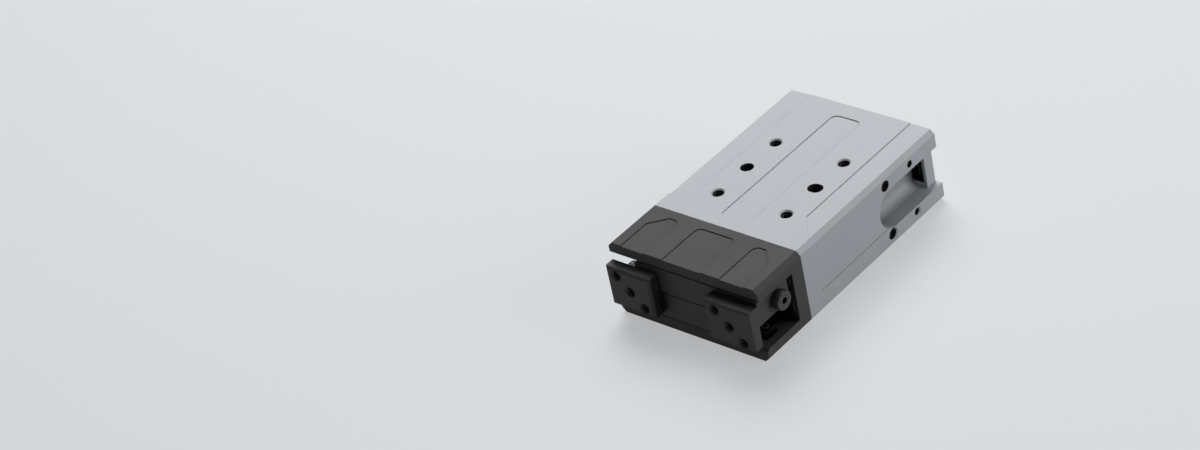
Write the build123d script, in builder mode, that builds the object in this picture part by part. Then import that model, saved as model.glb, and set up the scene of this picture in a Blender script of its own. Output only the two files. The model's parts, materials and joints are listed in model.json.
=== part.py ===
# Slim two-jaw electric gripper, millimetres. X runs across it, +Y to the rear, +Z up.
# The origin is the middle of the four mounting holes in the bottom face.
# A motor and a planetary gearbox turn a pinion between two racks, which slide the jaws
# towards each other on ball guides. The jaws are drawn fully open.
import os
from math import acos, cos, pi, radians, sin, tan

from build123d import *

os.makedirs("parts", exist_ok=True)

# Outside of the two housings
width = 39.0
height = 18.0
head_length = 14.5
body_length = 47.5
edge_chamfer = 1.0
panel_depth = 0.2
mount_from_front = 33.9

# Mounting holes, tapped right through, with pin holes on the top and the bottom
mount_spacing_x = 18.0
mount_spacing_y = 20.0
mount_tap_radius = 1.25
tap_countersink = 0.3
pin_hole_radius = 1.5
pin_hole_depth = 4.0
pin_slot_length = 3.5

# Head: two plates and a rear wall, open at the front and at both sides
plate_thickness = 3.13
lip_bevel = 0.63
head_wall = 3.45
head_panel_half_width = 5.05
head_panel_rear = 12.2
head_panel_corner = 1.5
side_panel_inner = 9.9
side_panel_outer = 16.1
side_panel_shoulder = 12.7
side_panel_shoulder_front = 8.6

# Body: panels on top, a slot in the right side for the cable, and a rear cover
label_panel_half_width = 3.73
label_panel_front = 17.6
label_panel_rear = 57.85
label_panel_corner = 1.6
shoulder_inner = 13.3
shoulder_outer = 18.5
shoulder_front_inner = 24.9
shoulder_front_outer = 19.0
shoulder_bottom = 5.07
side_slot_height = 9.2
side_slot_front = 40.6
side_slot_depth = 5.7
side_slot_floor_radius = 2.4
cover_front = 58.85
cover_thickness = 2.85
cover_half_width = 17.95
cover_clearance = 0.05
side_tap_radius = 1.25
side_tap_depth = 5.0
side_tap_from_front = 43.8
clamp_tap_radius = 0.8
clamp_tap_depth = 4.0
clamp_tap_from_front = 52.6
side_tap_spacing_z = 12.2

# Jaws
travel = 6.0
block_outer = 18.85
block_width = 11.75
block_height = 9.8
block_front = 3.0
block_thickness = 2.7
block_bevel = 0.5
finger_tap_radius = 1.025
finger_tap_offset = 3.2
finger_tap_depth = 4.0
slider_front = 0.05
slider_rear = 9.9
slider_split_gap = 0.2
slider_plate_gap = 0.27
slider_end_inset = 0.4
end_block_length = 3.85

# Ball guides between each slider and its plate
guide_from_front = 4.4
rail_width = 3.4
rail_thickness = 2.0
rail_end_inset = 2.0
guide_end_gap = 0.3
channel_width = 4.6
channel_floor_gap = 0.37
ball_radius = 0.6
ball_drop = 1.17
groove_clearance = 0.02
ball_count = 6
ball_pitch = 3.4
cage_end_gap = 0.5
cage_wall = 0.34
cage_web = 0.16
cage_web_gap = 0.1
cage_top_gap = 0.1
cage_hole_clearance = 0.06
rail_screw_radius = 0.6
rail_screw_core_radius = 0.5
rail_screw_head_radius = 1.1
rail_screw_head_height = 0.8
rail_screw_depth = 2.2
rail_screw_inset = 1.7
rail_screw_count = 3

# End screw of each slider
end_screw_from_front = 6.1
end_screw_edge = 0.45
end_screw_head_radius = 2.15
end_screw_head_height = 2.1
end_screw_radius = 1.25
end_screw_length = 3.2
hex_across_flats = 1.3

# Rack and pinion
rack_module = 0.5
pinion_teeth = 12
pressure_angle = radians(25)
rack_backlash = 0.04
pinion_front = 8.2
pinion_width = 1.55
shaft_radius = 1.5
rack_seat = 8.0
rack_thickness = 1.8
rack_start = 8.6
rack_top_gap = 0.2
rack_gap_first = -2
rack_gap_last = 6
rack_screw_inset = 2.0
rack_screw_radius = 0.7
rack_screw_core_radius = 0.6
rack_screw_head_radius = 1.15
rack_screw_length = 2.6

# Fasteners between the housings
head_screw_radius = 1.25
head_screw_core_radius = 1.0
head_screw_head_radius = 2.2
head_screw_head_height = 2.4
head_screw_length = 6.0
head_screw_spacing_x = 32.8
head_screw_spacing_z = 7.0
dowel_radius = 1.0
dowel_half_length = 2.6
dowel_spacing = 23.0
dowel_bevel = 0.2
screw_clearance = 0.1
screw_bevel = 0.15
cover_screw_radius = 0.8
cover_screw_core_radius = 0.65
cover_screw_head_radius = 1.45
cover_screw_head_height = 1.0
cover_screw_length = 5.0
cover_screw_rim = 0.35

# Output shaft bearing and gearbox
bearing_outer_radius = 3.5
bearing_race_wall = 0.6
bearing_shield = 0.3
bearing_width = 3.0
bearing_lip_radius = 2.75
motor_bore_radius = 6.6
bore_clearance = 0.2
flange_length = 2.5
bush_radius = 2.5
gearbox_screw_radius = 0.8
gearbox_screw_core_radius = 0.65
gearbox_screw_head_radius = 1.4
gearbox_screw_head_height = 1.4
gearbox_screw_length = 3.6
gearbox_screw_circle_radius = 5.35
gearbox_screw_count = 4
gear_module = 0.3
sun_teeth = 12
planet_teeth = 12
ring_teeth = 36
planet_count = 3
gear_addendum = 0.9
gear_dedendum = 1.25
gear_backlash = 0.03
gear_width = 3.2
ring_length = 7.0
carrier_thickness = 1.4
carrier_radius = 4.9
carrier_gap = 0.2
planet_pin_radius = 0.6
planet_pin_clearance = 0.03
running_clearance = 0.03

# Motor and encoder
motor_plate_length = 3.0
motor_bearing_radius = 2.0
motor_bearing_width = 1.6
can_length = 18.0
can_wall = 0.7
winding_length = 14.0
winding_inner_radius = 3.7
rotor_radius = 3.3
rotor_length = 13.0
motor_shaft_radius = 0.75
end_bell_length = 5.0
end_bell_web = 2.2
encoder_gap = 0.3
encoder_magnet_radius = 2.0
encoder_magnet_length = 1.5
encoder_board_thickness = 0.8
terminal_count = 3
terminal_radius = 0.3
terminal_clearance = 0.2

# Electronics
cavity_half_width = 10.6
cavity_height = 8.0
board_width = 20.4
board_height = 7.6
board_thickness = 1.0
pillar_radius = 1.2
pillar_length = 2.6
pillar_spacing = 14.0
board_screw_radius = 0.5
board_screw_head_radius = 0.95
board_screw_head_height = 0.6
board_screw_length = 3.0
chip_height = 0.9
chip_side = 4.0
small_chip_width = 2.0
small_chip_spacing = 8.0
lead_width = 5.0
lead_thickness = 0.2
socket_lead_width = 1.6
socket_lead_x = 9.4
socket_floor_gap = 0.3
socket_width = 3.1
socket_height = 6.8
socket_pocket_depth = 2.4
socket_length = 1.9
socket_fit = 0.03
socket_wall = 0.4
socket_mouth_depth = 1.4
contact_count = 5
contact_pitch = 1.0
contact_size = 0.25
contact_length = 1.0
lead_channel_height = 2.0
lead_channel_depth = 0.9

# Worked out from the values above
total_length = head_length + body_length
mid_z = height / 2
window_depth = head_length - head_wall
rail_seat = mid_z - plate_thickness
slider_top = rail_seat - slider_plate_gap
slider_bottom = slider_split_gap / 2
slider_height = slider_top - slider_bottom
end_screw_rise = slider_top - end_screw_edge - end_screw_head_radius
slider_end = slider_end_inset + travel - width / 2
slider_length = block_outer - slider_end
block_inner = block_outer - block_width
block_center = block_outer - block_width / 2
block_rear = block_thickness - block_front
end_block_start = block_outer - end_block_length
rail_outer_end = width / 2 - rail_end_inset
rail_inner_end = end_block_start - travel - guide_end_gap
rail_screw_first = rail_screw_inset - rail_outer_end
rail_screw_spacing = (rail_inner_end - rail_screw_inset - rail_screw_first) / (rail_screw_count - 1)
rail_screw_positions = [rail_screw_first + rail_screw_spacing * step for step in range(rail_screw_count)]
cage_start = -cage_end_gap - slider_end
cage_end = rail_inner_end - cage_end_gap
rack_end = end_block_start - guide_end_gap
rack_screw_positions = [rack_screw_inset - rack_start, rack_end - rack_screw_inset]
rail_bottom = rail_seat - rail_thickness
channel_floor = rail_bottom - channel_floor_gap
cage_bottom = rail_bottom - cage_web_gap - cage_web
cage_top = slider_top - cage_top_gap
ball_height = rail_seat - ball_drop
ball_offset = (rail_width + channel_width) / 4
groove_radius = ball_radius + groove_clearance
pinion_pitch_radius = rack_module * pinion_teeth / 2
rack_tip = pinion_pitch_radius - rack_module
rack_root = pinion_pitch_radius + gear_dedendum * rack_module
rack_top = slider_top - rack_top_gap
rack_screw_height = (rack_tip + rack_top) / 2
sun_radius = gear_module * sun_teeth / 2
planet_radius = gear_module * planet_teeth / 2
ring_radius = gear_module * ring_teeth / 2
planet_orbit = sun_radius + planet_radius
drive_radius = motor_bore_radius - bore_clearance
ring_front = head_length + flange_length
ring_rear = ring_front + ring_length
carrier_front = ring_front + carrier_gap
gear_front = carrier_front + carrier_thickness + carrier_gap
can_front = ring_rear + motor_plate_length
can_rear = can_front + can_length
bore_rear = can_rear + end_bell_length + encoder_board_thickness
terminal_circle_radius = (winding_inner_radius + drive_radius - can_wall) / 2
side_slot_floor = width / 2 - side_slot_depth
cover_screw_spacing_x = cavity_half_width + side_slot_floor
cover_screw_spacing_z = side_slot_height - 2 * (
    cover_clearance + cover_screw_rim + screw_clearance + cover_screw_head_radius
)
socket_x = side_slot_floor + socket_floor_gap + socket_width / 2
lead_channel_start = socket_lead_x - bore_clearance
gearbox_screw_angle = 180 / gearbox_screw_count
planet_angles = [90 + step * 360 / planet_count for step in range(planet_count)]


def back(distance):
    """Y of a plane this far behind the head's front face."""
    return distance - mount_from_front


def section(distance):
    """Cross-section that faces the jaws: x across, y up from the drive axis."""
    return Plane(origin=(0, back(distance), mid_z), x_dir=(1, 0, 0), z_dir=(0, -1, 0))


def rear_section(distance):
    """The same cross-section seen from behind: x runs the other way."""
    return Plane(origin=(0, back(distance), mid_z), x_dir=(-1, 0, 0), z_dir=(0, 1, 0))


def plate_face(side, drop=0):
    """Inner face of the upper (1) or lower (-1) plate above its rail, shifted by drop."""
    return Plane(
        origin=(0, back(guide_from_front), mid_z + side * (rail_seat - drop)),
        x_dir=(side, 0, 0),
        z_dir=(0, 0, -side),
    )


def turned(part):
    """The same piece for the other jaw: half a turn about the drive axis."""
    return part.rotate(Axis((0, 0, mid_z), (0, 1, 0)), 180)


def involute(angle):
    """Involute function of a pressure angle."""
    return tan(angle) - angle


def gear_points(module, teeth, tip, root, thinning, turn=0):
    """Outline of a gear with involute flanks: radii tip and root, thinning off each tooth."""
    pitch_radius = module * teeth / 2
    base_radius = pitch_radius * cos(pressure_angle)
    flank_start = max(root, base_radius)
    flank_radii = [flank_start + (tip - flank_start) * step / 3 for step in range(4)]
    half_angle = pi / (2 * teeth) - thinning / (2 * pitch_radius) + involute(pressure_angle)
    flank = [(root, half_angle - involute(acos(base_radius / flank_start)))] if root < base_radius else []
    flank += [(radius, half_angle - involute(acos(base_radius / radius))) for radius in flank_radii]
    points = []
    for tooth in range(teeth):
        middle = radians(turn) + 2 * pi * tooth / teeth
        points += [(r * cos(middle - a), r * sin(middle - a)) for r, a in flank]
        points += [(r * cos(middle + a), r * sin(middle + a)) for r, a in reversed(flank)]
    return points


# Head: black housing that carries the guides and the front bearing
with BuildPart() as head_frame:
    with BuildSketch(section(head_length)) as head_outline:
        Rectangle(width, height)
        chamfer(head_outline.vertices(), edge_chamfer)
    extrude(amount=head_length)
    with BuildSketch(Plane.YZ.offset(-width / 2)):
        with BuildLine():
            Polyline(
                (back(0), plate_thickness - lip_bevel),
                (back(lip_bevel), plate_thickness),
                (back(window_depth), plate_thickness),
                (back(window_depth), height - plate_thickness),
                (back(lip_bevel), height - plate_thickness),
                (back(0), height - plate_thickness + lip_bevel),
                close=True,
            )
        make_face()
    extrude(amount=width, mode=Mode.SUBTRACT)
    with BuildSketch(Plane.XY.offset(height)) as middle_panel:
        with BuildLine():
            Polyline(
                (-head_panel_half_width, back(0)),
                (-head_panel_half_width, back(head_panel_rear)),
                (head_panel_half_width, back(head_panel_rear)),
                (head_panel_half_width, back(0)),
                close=True,
            )
        make_face()
        fillet(middle_panel.vertices().group_by(Axis.Y)[-1], head_panel_corner)
    extrude(amount=-panel_depth, mode=Mode.SUBTRACT)
    with BuildSketch(Plane.XY.offset(height)) as side_panels:
        with BuildLine():
            Polyline(
                (side_panel_inner, back(0)),
                (side_panel_inner, back(head_panel_rear)),
                (side_panel_shoulder, back(head_panel_rear)),
                (side_panel_outer, back(side_panel_shoulder_front)),
                (side_panel_outer, back(0)),
                close=True,
            )
        make_face()
        fillet(side_panels.vertices().group_by(Axis.Y)[-1].sort_by(Axis.X)[0], head_panel_corner)
        mirror(about=Plane.YZ)
    extrude(amount=-panel_depth, mode=Mode.SUBTRACT)
    with BuildSketch(section(head_length)):
        Circle(bearing_outer_radius)
    extrude(amount=bearing_width, mode=Mode.SUBTRACT)
    with BuildSketch(section(head_length)):
        Circle(bearing_lip_radius)
    extrude(amount=head_wall, mode=Mode.SUBTRACT)
    with Locations(section(window_depth)):
        with GridLocations(head_screw_spacing_x, head_screw_spacing_z, 2, 2):
            CounterBoreHole(
                head_screw_radius + screw_clearance,
                head_screw_head_radius + screw_clearance,
                head_screw_head_height,
                head_wall,
            )
        with PolarLocations(gearbox_screw_circle_radius, gearbox_screw_count, start_angle=gearbox_screw_angle):
            CounterBoreHole(
                gearbox_screw_radius + screw_clearance,
                gearbox_screw_head_radius + screw_clearance,
                gearbox_screw_head_height,
                head_wall,
            )
    with BuildSketch(section(head_length)):
        with Locations((-dowel_spacing / 2, 0), (dowel_spacing / 2, 0)):
            Circle(dowel_radius)
    extrude(amount=dowel_half_length, mode=Mode.SUBTRACT)
    for side in (1, -1):
        with Locations(plate_face(side)):
            with Locations(*[(x, 0) for x in rail_screw_positions]):
                Hole(rail_screw_core_radius, rail_screw_depth)
head_frame.part.label = "head_frame"
export_step(head_frame.part, "parts/head_frame.step")

# Shallow step that wraps over the body's long edge, cut out of each shoulder of the body
with BuildPart() as shoulder_step:
    with BuildSketch(section(total_length)) as step_ring:
        Rectangle(width, height)
        chamfer(step_ring.vertices(), edge_chamfer)
        with BuildSketch(mode=Mode.SUBTRACT) as step_core:
            Rectangle(width - 2 * panel_depth, height - 2 * panel_depth)
            chamfer(step_core.vertices(), edge_chamfer)
        with Locations((shoulder_inner, shoulder_bottom - mid_z)):
            Rectangle(width, height, align=(Align.MIN, Align.MIN), mode=Mode.INTERSECT)
    extrude(amount=body_length)
    with BuildSketch(Plane.XY):
        with BuildLine():
            Polyline(
                (shoulder_inner, back(shoulder_front_inner)),
                (shoulder_outer, back(shoulder_front_outer)),
                (width / 2, back(shoulder_front_outer)),
                (width / 2, back(total_length)),
                (shoulder_inner, back(total_length)),
                close=True,
            )
        make_face()
    extrude(amount=height, mode=Mode.INTERSECT)

# Space of the cable slot: round at its front end, with rounded corners along its floor
with BuildPart() as side_slot:
    with BuildSketch(Plane.YZ.offset(width / 2)):
        with Locations((back(side_slot_front + side_slot_height / 2), mid_z)):
            Circle(side_slot_height / 2)
            Rectangle(
                cover_front - side_slot_front - side_slot_height / 2,
                side_slot_height,
                align=(Align.MIN, Align.CENTER),
            )
    extrude(amount=-side_slot_depth)
    floor_edges = side_slot.edges().group_by(Axis.X)[0]
    fillet(floor_edges - floor_edges.filter_by(Axis.Z), side_slot_floor_radius)

# Body: grey housing with the mounting holes, the drive bore and the cable slot
with BuildPart() as body_housing:
    with BuildSketch(section(total_length)) as body_outline:
        Rectangle(width, height)
        chamfer(body_outline.vertices(), edge_chamfer)
    extrude(amount=body_length)
    add(shoulder_step.part, mode=Mode.SUBTRACT)
    add(shoulder_step.part.mirror(Plane.YZ), mode=Mode.SUBTRACT)
    with BuildSketch(Plane.XY.offset(height)):
        with Locations((0, back((label_panel_front + label_panel_rear) / 2))):
            RectangleRounded(
                2 * label_panel_half_width,
                label_panel_rear - label_panel_front,
                label_panel_corner,
            )
    extrude(amount=-panel_depth, mode=Mode.SUBTRACT)
    for face in (Plane.XY.offset(height), Plane(origin=(0, 0, 0), x_dir=(1, 0, 0), z_dir=(0, 0, -1))):
        with Locations(face):
            with GridLocations(mount_spacing_x, mount_spacing_y, 2, 2):
                CounterSinkHole(mount_tap_radius, mount_tap_radius + tap_countersink, mid_z, 90)
            with Locations((-mount_spacing_x / 2, 0)):
                Hole(pin_hole_radius, pin_hole_depth)
        with BuildSketch(face):
            with Locations((mount_spacing_x / 2, 0)):
                SlotOverall(pin_slot_length, 2 * pin_hole_radius)
        extrude(amount=-pin_hole_depth, mode=Mode.SUBTRACT)
    with BuildSketch(section(bore_rear)):
        Circle(motor_bore_radius)
    extrude(amount=bore_rear - head_length, mode=Mode.SUBTRACT)
    with BuildSketch(section(cover_front)):
        Rectangle(2 * cavity_half_width, cavity_height)
    extrude(amount=cover_front - bore_rear, mode=Mode.SUBTRACT)
    with BuildSketch(section(total_length)):
        with Locations((-cover_half_width - cover_clearance, 0)):
            Rectangle(
                cover_half_width + cover_clearance + width / 2,
                side_slot_height,
                align=(Align.MIN, Align.CENTER),
            )
    extrude(amount=total_length - cover_front, mode=Mode.SUBTRACT)
    add(side_slot.part, mode=Mode.SUBTRACT)
    with Locations(Plane.YZ.offset(width / 2)):
        with Locations((back(side_tap_from_front), mid_z)):
            with GridLocations(0, side_tap_spacing_z, 1, 2):
                CounterSinkHole(side_tap_radius, side_tap_radius + tap_countersink, side_tap_depth, 90)
        with Locations((back(clamp_tap_from_front), mid_z)):
            with GridLocations(0, side_tap_spacing_z, 1, 2):
                CounterSinkHole(clamp_tap_radius, clamp_tap_radius + tap_countersink, clamp_tap_depth, 90)
    with Locations(section(head_length)):
        with GridLocations(head_screw_spacing_x, head_screw_spacing_z, 2, 2):
            Hole(head_screw_core_radius, head_screw_length)
        with GridLocations(dowel_spacing, 0, 2, 1):
            Hole(dowel_radius, dowel_half_length)
    with BuildSketch(section(cover_front)):
        with GridLocations(cover_screw_spacing_x, cover_screw_spacing_z, 2, 2):
            Circle(cover_screw_core_radius)
    extrude(amount=cover_screw_length, mode=Mode.SUBTRACT)
body_housing.part.label = "body_housing"
export_step(body_housing.part, "parts/body_housing.step")

# Rear cover: plate between the lips, with the socket's place and two pillars for the board
with BuildPart() as rear_cover:
    with BuildSketch(section(cover_front + cover_thickness)):
        Rectangle(2 * cover_half_width, side_slot_height - 2 * cover_clearance)
    extrude(amount=cover_thickness)
    with BuildSketch(section(cover_front)):
        with GridLocations(pillar_spacing, 0, 2, 1):
            Circle(pillar_radius)
    extrude(amount=pillar_length)
    with BuildSketch(section(cover_front)):
        with Locations((socket_x, 0)):
            Rectangle(socket_width, socket_height)
    extrude(amount=-socket_pocket_depth, mode=Mode.SUBTRACT)
    with BuildSketch(section(cover_front)):
        with Locations((lead_channel_start, 0)):
            Rectangle(socket_x - lead_channel_start, lead_channel_height, align=(Align.MIN, Align.CENTER))
    extrude(amount=-lead_channel_depth, mode=Mode.SUBTRACT)
    with Locations(section(cover_front - pillar_length)):
        with GridLocations(pillar_spacing, 0, 2, 1):
            Hole(board_screw_radius, board_screw_length)
    with Locations(rear_section(cover_front + cover_thickness)):
        with GridLocations(cover_screw_spacing_x, cover_screw_spacing_z, 2, 2):
            CounterBoreHole(
                cover_screw_radius + screw_clearance,
                cover_screw_head_radius + screw_clearance,
                cover_screw_head_height,
                cover_thickness,
            )
rear_cover.part.label = "rear_cover"
export_step(rear_cover.part, "parts/rear_cover.step")


def socket_screw(head_radius, head_height, shank_radius, length, key):
    """Socket-head screw: head above the origin along Z, shank below, hexagon socket on top."""
    with BuildPart() as screw:
        Cylinder(head_radius, head_height, align=(Align.CENTER, Align.CENTER, Align.MIN))
        chamfer(screw.edges().sort_by(Axis.Z)[-1], screw_bevel)
        Cylinder(shank_radius, length, align=(Align.CENTER, Align.CENTER, Align.MAX))
        with BuildSketch(Plane.XY.offset(head_height)):
            RegularPolygon(key / 2, 6, major_radius=False)
        extrude(amount=-head_height / 2, mode=Mode.SUBTRACT)
    return screw.part


def flat_screw(head_radius, shank_radius, length, key):
    """Countersunk screw: flat head at the origin, shank down along Z, hexagon socket on top."""
    head_height = head_radius - shank_radius
    with BuildPart() as screw:
        Cone(shank_radius, head_radius, head_height, align=(Align.CENTER, Align.CENTER, Align.MAX))
        Cylinder(shank_radius, length, align=(Align.CENTER, Align.CENTER, Align.MAX))
        with BuildSketch():
            RegularPolygon(key / 2, 6, major_radius=False)
        extrude(amount=-head_height, mode=Mode.SUBTRACT)
    return screw.part


# Screws and dowels that join the head, the body and the rear cover
with BuildPart() as head_screws:
    with Locations(section(window_depth + head_screw_head_height)):
        with GridLocations(head_screw_spacing_x, head_screw_spacing_z, 2, 2):
            add(
                socket_screw(
                    head_screw_head_radius,
                    head_screw_head_height,
                    head_screw_core_radius,
                    head_screw_length,
                    2 * head_screw_core_radius,
                )
            )
head_screws.part.label = "head_screws"
export_step(head_screws.part, "parts/head_screws.step")

with BuildPart() as dowel_pins:
    with Locations(section(head_length)):
        with GridLocations(dowel_spacing, 0, 2, 1):
            Cylinder(dowel_radius, 2 * dowel_half_length)
    chamfer(dowel_pins.edges().filter_by(GeomType.CIRCLE), dowel_bevel)
dowel_pins.part.label = "dowel_pins"
export_step(dowel_pins.part, "parts/dowel_pins.step")

with BuildPart() as cover_screws:
    with Locations(rear_section(cover_front + cover_thickness - cover_screw_head_height)):
        with GridLocations(cover_screw_spacing_x, cover_screw_spacing_z, 2, 2):
            add(
                socket_screw(
                    cover_screw_head_radius,
                    cover_screw_head_height,
                    cover_screw_core_radius,
                    cover_screw_length,
                    2 * cover_screw_core_radius,
                )
            )
cover_screws.part.label = "cover_screws"
export_step(cover_screws.part, "parts/cover_screws.step")

# Right jaw: front block and upper slider in one piece; the slider's front edge follows the plate's lip
with BuildPart() as right_jaw:
    with BuildSketch(section(slider_rear)):
        with Locations((slider_end, slider_bottom)):
            Rectangle(slider_length, slider_height, align=(Align.MIN, Align.MIN))
    extrude(amount=slider_rear - slider_front)
    with BuildSketch(Plane.YZ.offset(slider_end)):
        with BuildLine():
            Polyline(
                (back(slider_front), mid_z + slider_top),
                (back(slider_front), mid_z + slider_top + lip_bevel - slider_front),
                (back(lip_bevel), mid_z + slider_top),
                close=True,
            )
        make_face()
    extrude(amount=slider_length)
    with BuildSketch(section(slider_rear)):
        with Locations((slider_end, slider_bottom)):
            Rectangle(slider_length - end_block_length, slider_height, align=(Align.MIN, Align.MIN))
    extrude(amount=slider_rear - rack_seat, mode=Mode.SUBTRACT)
    with BuildSketch(Plane.YZ.offset(slider_end)):
        with Locations((back(guide_from_front), mid_z + channel_floor)):
            Rectangle(channel_width, slider_top - channel_floor, align=(Align.CENTER, Align.MIN))
        with Locations((back(guide_from_front), mid_z + ball_height)):
            with GridLocations(2 * ball_offset, 0, 2, 1):
                Circle(groove_radius)
    extrude(amount=slider_length - end_block_length, mode=Mode.SUBTRACT)
    with BuildSketch(section(block_rear)):
        with Locations((block_center, 0)):
            Rectangle(block_width, block_height)
    extrude(amount=block_thickness)
    chamfer(right_jaw.faces().sort_by(Axis.Y)[0].edges(), block_bevel)
    with BuildSketch(section(slider_front)):
        with Locations((block_center, slider_bottom)):
            Rectangle(block_width, block_height / 2 - slider_bottom, align=(Align.CENTER, Align.MIN))
    extrude(amount=slider_front - block_rear)
    with Locations(section(-block_front)):
        with Locations((block_center, 0), (block_center + finger_tap_offset, -finger_tap_offset)):
            CounterSinkHole(finger_tap_radius, finger_tap_radius + tap_countersink, block_thickness, 90)
        with Locations((block_center - finger_tap_offset, finger_tap_offset)):
            CounterSinkHole(finger_tap_radius, finger_tap_radius + tap_countersink, finger_tap_depth, 90)
    with Locations(Plane.YZ.offset(block_outer)):
        with Locations((back(end_screw_from_front), mid_z + end_screw_rise)):
            Hole(end_screw_radius, end_screw_length)
    with BuildSketch(section(rack_seat)):
        with Locations(*[(x, rack_screw_height) for x in rack_screw_positions]):
            Circle(rack_screw_core_radius)
    extrude(amount=rack_screw_length - rack_thickness, mode=Mode.SUBTRACT)
right_jaw.part.label = "right_jaw"
export_step(right_jaw.part, "parts/right_jaw.step")

with BuildPart() as left_jaw:
    add(turned(right_jaw.part))
left_jaw.part.label = "left_jaw"
export_step(left_jaw.part, "parts/left_jaw.step")

# Screws in the sliders' outer ends, which keep the ball cages in
with BuildPart() as right_end_screw:
    with Locations(Plane.YZ.offset(block_outer)):
        with Locations((back(end_screw_from_front), mid_z + end_screw_rise)):
            add(
                socket_screw(
                    end_screw_head_radius,
                    end_screw_head_height,
                    end_screw_radius,
                    end_screw_length,
                    hex_across_flats,
                )
            )
right_end_screw.part.label = "right_end_screw"
export_step(right_end_screw.part, "parts/right_end_screw.step")

with BuildPart() as left_end_screw:
    add(turned(right_end_screw.part))
left_end_screw.part.label = "left_end_screw"
export_step(left_end_screw.part, "parts/left_end_screw.step")

# Racks behind the sliders: a bar with straight-sided gaps that the pinion's teeth enter
rack_pitch = pi * rack_module
rack_gap_half = rack_pitch / 4 + rack_backlash / 2
rack_gap_tip = rack_gap_half + rack_module * tan(pressure_angle)
rack_gap_root = rack_gap_half - gear_dedendum * rack_module * tan(pressure_angle)
rack_points = [(-rack_start, rack_top), (-rack_start, rack_tip)]
for gap in range(rack_gap_first, rack_gap_last + 1):
    rack_points += [
        (gap * rack_pitch - rack_gap_tip, rack_tip),
        (gap * rack_pitch - rack_gap_root, rack_root),
        (gap * rack_pitch + rack_gap_root, rack_root),
        (gap * rack_pitch + rack_gap_tip, rack_tip),
    ]
rack_points += [(rack_end, rack_tip), (rack_end, rack_top)]
rack_screw_spots = [(-x, rack_screw_height) for x in rack_screw_positions]

with BuildPart() as right_rack:
    with BuildSketch(section(rack_seat + rack_thickness)):
        with BuildLine():
            Polyline(*rack_points, close=True)
        make_face()
    extrude(amount=rack_thickness)
    with Locations(rear_section(rack_seat + rack_thickness)):
        with Locations(*rack_screw_spots):
            CounterSinkHole(rack_screw_radius, rack_screw_head_radius, rack_thickness, 90)
right_rack.part.label = "right_rack"
export_step(right_rack.part, "parts/right_rack.step")

with BuildPart() as left_rack:
    add(turned(right_rack.part))
left_rack.part.label = "left_rack"
export_step(left_rack.part, "parts/left_rack.step")

with BuildPart() as right_rack_screws:
    with Locations(rear_section(rack_seat + rack_thickness)):
        with Locations(*rack_screw_spots):
            add(
                flat_screw(
                    rack_screw_head_radius,
                    rack_screw_core_radius,
                    rack_screw_length,
                    rack_screw_head_radius,
                )
            )
right_rack_screws.part.label = "right_rack_screws"
export_step(right_rack_screws.part, "parts/right_rack_screws.step")

with BuildPart() as left_rack_screws:
    add(turned(right_rack_screws.part))
left_rack_screws.part.label = "left_rack_screws"
export_step(left_rack_screws.part, "parts/left_rack_screws.step")

# Guide rails with a groove along each side, screwed to the plates from inside
with BuildPart() as upper_guide_rail:
    with BuildSketch(Plane.YZ.offset(-rail_outer_end)):
        with Locations((back(guide_from_front), mid_z + rail_seat)):
            Rectangle(rail_width, rail_thickness, align=(Align.CENTER, Align.MAX))
        with Locations((back(guide_from_front), mid_z + ball_height)):
            with GridLocations(2 * ball_offset, 0, 2, 1):
                Circle(groove_radius, mode=Mode.SUBTRACT)
    extrude(amount=rail_outer_end + rail_inner_end)
    with Locations(plate_face(1, rail_thickness)):
        with Locations(*[(x, 0) for x in rail_screw_positions]):
            CounterBoreHole(
                rail_screw_radius,
                rail_screw_head_radius + running_clearance,
                rail_screw_head_height,
                rail_thickness,
            )
upper_guide_rail.part.label = "upper_guide_rail"
export_step(upper_guide_rail.part, "parts/upper_guide_rail.step")

with BuildPart() as lower_guide_rail:
    add(turned(upper_guide_rail.part))
lower_guide_rail.part.label = "lower_guide_rail"
export_step(lower_guide_rail.part, "parts/lower_guide_rail.step")

with BuildPart() as rail_screws:
    for side in (1, -1):
        with Locations(plate_face(side, rail_thickness - rail_screw_head_height)):
            with Locations(*[(x, 0) for x in rail_screw_positions]):
                add(
                    socket_screw(
                        rail_screw_head_radius,
                        rail_screw_head_height,
                        rail_screw_core_radius,
                        rail_thickness - rail_screw_head_height + rail_screw_depth,
                        rail_screw_head_radius,
                    )
                )
rail_screws.part.label = "rail_screws"
export_step(rail_screws.part, "parts/rail_screws.step")

# Ball cages: a thin channel round the rail, with a window for each ball
cage_middle = (cage_end - cage_start) / 2
with BuildPart() as upper_ball_cage:
    with BuildSketch(Plane.YZ.offset(-cage_start)):
        with Locations((back(guide_from_front), mid_z + cage_bottom)):
            Rectangle(2 * ball_offset + cage_wall, cage_top - cage_bottom, align=(Align.CENTER, Align.MIN))
        with Locations((back(guide_from_front), mid_z + cage_bottom + cage_web)):
            Rectangle(
                2 * ball_offset - cage_wall,
                cage_top - cage_bottom,
                align=(Align.CENTER, Align.MIN),
                mode=Mode.SUBTRACT,
            )
    extrude(amount=cage_start + cage_end)
    with BuildSketch(section(guide_from_front)):
        with Locations((cage_middle, ball_height)):
            with GridLocations(ball_pitch, 0, ball_count, 1):
                Circle(ball_radius + cage_hole_clearance)
    extrude(amount=channel_width, both=True, mode=Mode.SUBTRACT)
upper_ball_cage.part.label = "upper_ball_cage"
export_step(upper_ball_cage.part, "parts/upper_ball_cage.step")

with BuildPart() as lower_ball_cage:
    add(turned(upper_ball_cage.part))
lower_ball_cage.part.label = "lower_ball_cage"
export_step(lower_ball_cage.part, "parts/lower_ball_cage.step")

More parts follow.
